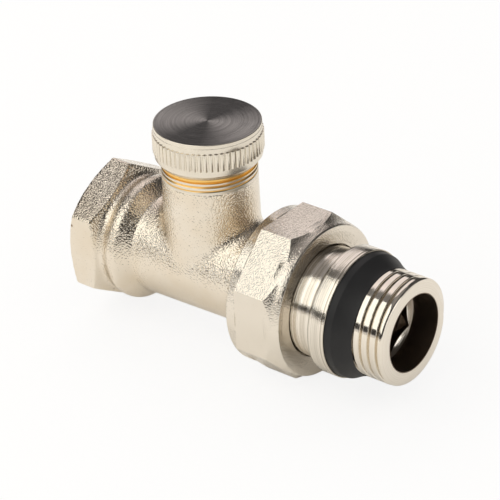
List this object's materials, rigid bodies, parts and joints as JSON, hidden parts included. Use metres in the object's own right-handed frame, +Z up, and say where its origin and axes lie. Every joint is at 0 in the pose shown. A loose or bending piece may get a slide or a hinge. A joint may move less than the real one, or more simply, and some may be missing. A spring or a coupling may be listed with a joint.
{
  "type": "straight lockshield radiator valve",
  "caption": "Straight return valve for a radiator: forged body with a pipe socket, capped regulating boss, octagonal union nut and threaded tail with a soft seal.",
  "frame": {"origin": "where the run axis from pipe to radiator crosses the axis of the regulating spindle", "axes": "+X along the run towards the radiator tail, +Z up the spindle towards the cap, +Y across"},
  "size_m": [0.0737, 0.0308, 0.0456],
  "materials": {
    "forged_nickel": "grit-blasted forging with satin nickel plate",
    "satin_nickel": "turned and knurled, satin nickel plate",
    "turned_nickel": "turned, bright nickel plate",
    "bare_brass": "turned, unplated",
    "black_rubber": "matte moulded rubber"
  },
  "bodies": {
    "valve": {"valve_body": "forged_nickel", "bonnet": "bare_brass", "bonnet_o_ring": "black_rubber"},
    "disc": {"disc_holder": "bare_brass", "seat_disc": "black_rubber"},
    "spindle": {"regulating_spindle": "bare_brass", "lower_spindle_o_ring": "black_rubber", "upper_spindle_o_ring": "black_rubber", "disc_washer": "bare_brass", "disc_screw": "bare_brass"},
    "cap_gasket": {"cap_seal": "black_rubber"},
    "cap": {"cap": "satin_nickel"},
    "tail": {"tailpiece": "turned_nickel", "tail_o_ring": "black_rubber", "backing_ring": "turned_nickel", "thread_seal": "black_rubber"},
    "nut": {"union_nut": "forged_nickel"}
  },
  "joints": [
    {"name": "disc_lift", "type": "slide", "parent": "valve", "child": "disc", "axis": [0, 0, 1], "range_m": [-0.00201, 0.00201]},
    {"name": "spindle_turn", "type": "hinge", "parent": "disc", "child": "spindle", "pos_m": [0, 0, 0.008], "axis": [0, 0, 1], "range_deg": [-720, 720]},
    {"name": "cap_lift", "type": "slide", "parent": "valve", "child": "cap_gasket", "axis": [0, 0, 1], "range_m": [0, 0.0042]},
    {"name": "cap_turn", "type": "hinge", "parent": "cap_gasket", "child": "cap", "pos_m": [0, 0, 0.026], "axis": [0, 0, 1], "range_deg": [0, 1620]},
    {"name": "tail_draw", "type": "slide", "parent": "valve", "child": "tail", "axis": [1, 0, 0], "range_m": [0, 0.0073]},
    {"name": "nut_turn", "type": "hinge", "parent": "tail", "child": "nut", "pos_m": [0.021, 0, 0], "axis": [1, 0, 0], "range_deg": [0, 1440]}
  ],
  "couplings": [
    {"joint": "disc_lift", "follows": "spindle_turn", "m_per_rad": 0.00015915},
    {"joint": "cap_lift", "follows": "cap_turn", "m_per_rad": 0.00014642},
    {"joint": "tail_draw", "follows": "nut_turn", "m_per_rad": 0.00028871}
  ]
}
